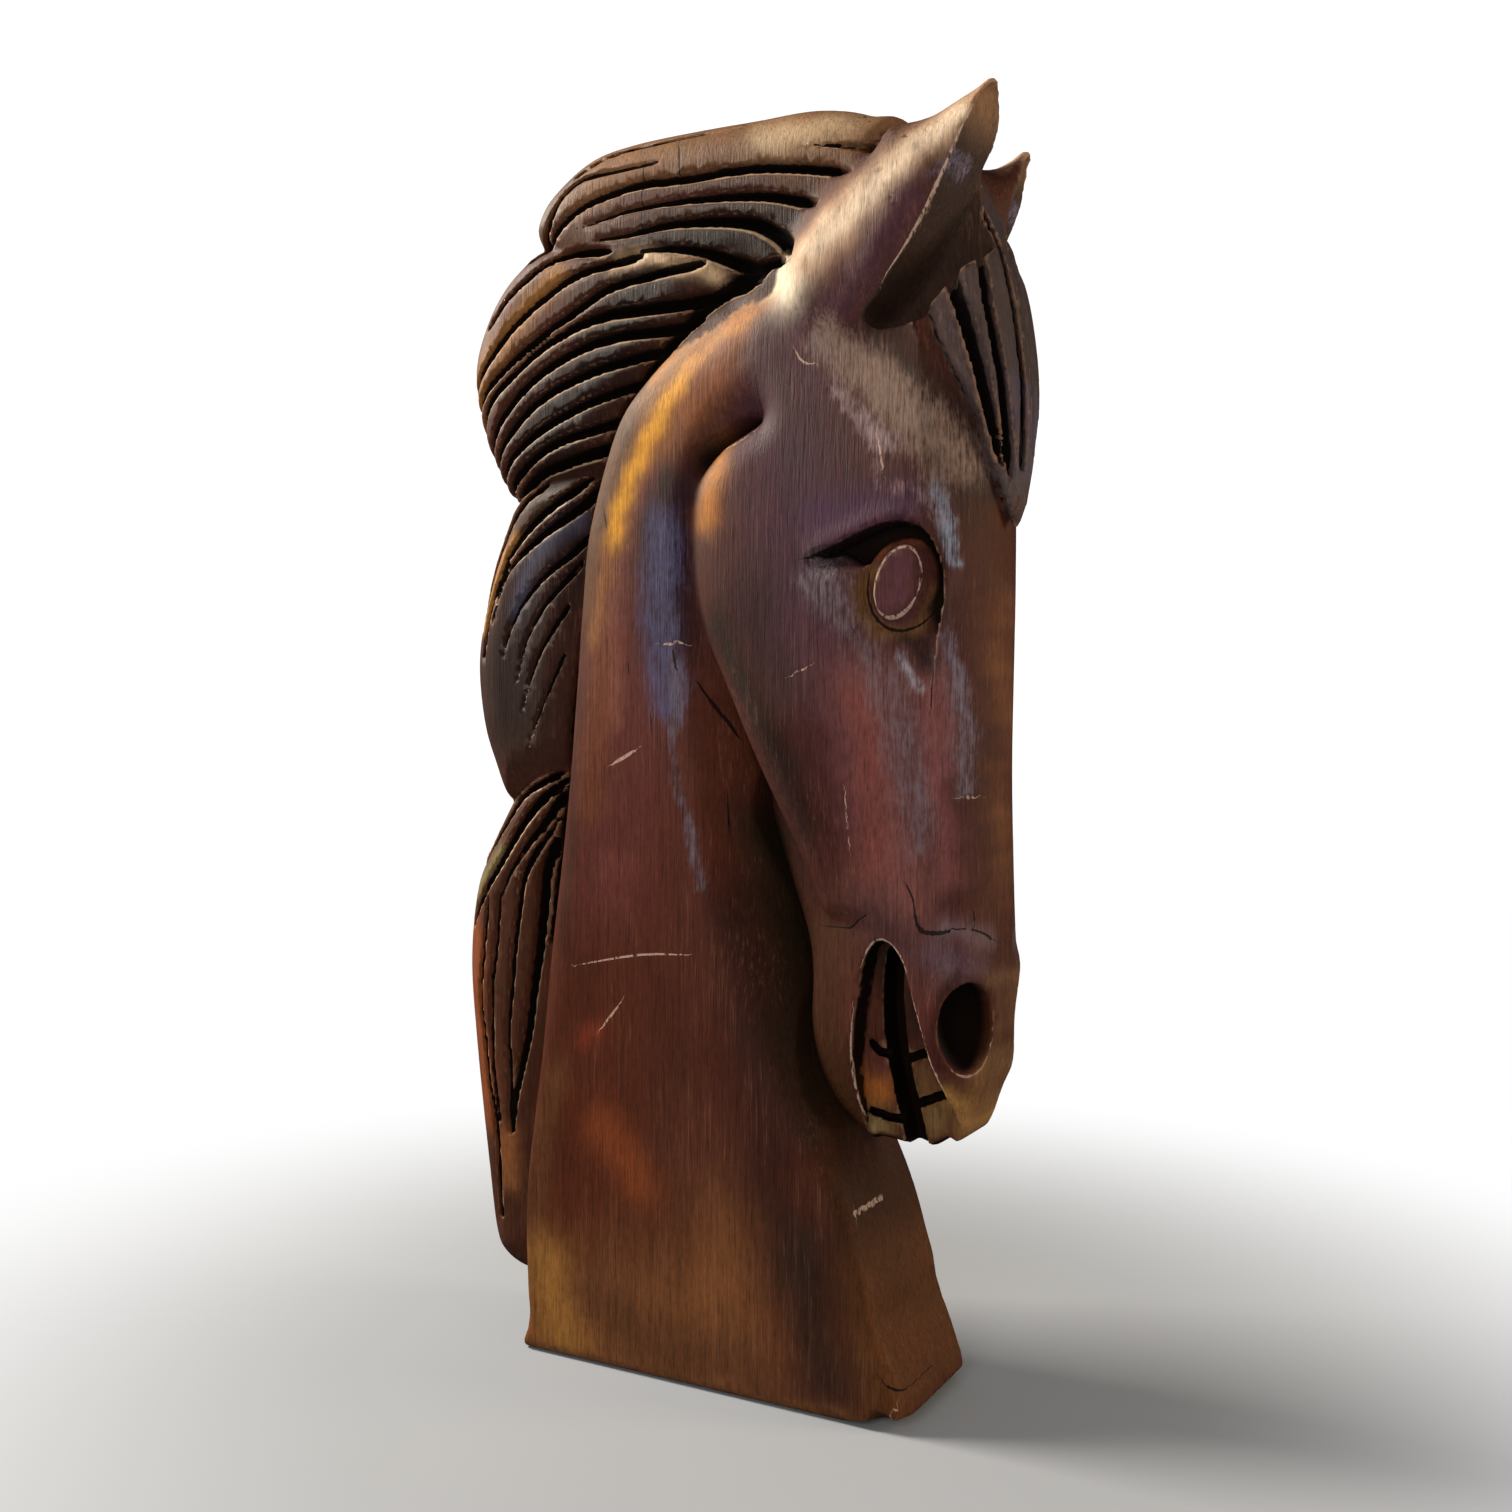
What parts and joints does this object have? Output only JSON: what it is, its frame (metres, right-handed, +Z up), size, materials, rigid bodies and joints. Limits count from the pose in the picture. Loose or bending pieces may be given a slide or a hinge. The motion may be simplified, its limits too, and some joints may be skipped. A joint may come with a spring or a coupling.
{
  "type": "wooden horse head sculpture",
  "caption": "Horse's head and neck carved from one block of dark stained wood, with a gouged mane, open mouth and pricked ears, standing on its flat-cut neck.",
  "frame": {"origin": "centre of the flat underside of the neck", "axes": "+X the way the horse faces, +Y its left, +Z up"},
  "size_m": [0.3873, 0.1221, 0.7856],
  "materials": {
    "carved_wood": "dark red-brown stain, worn golden on the ridges, soft gloss"
  },
  "bodies": {
    "root": {"carved_horse_head": "carved_wood"}
  },
  "joints": []
}
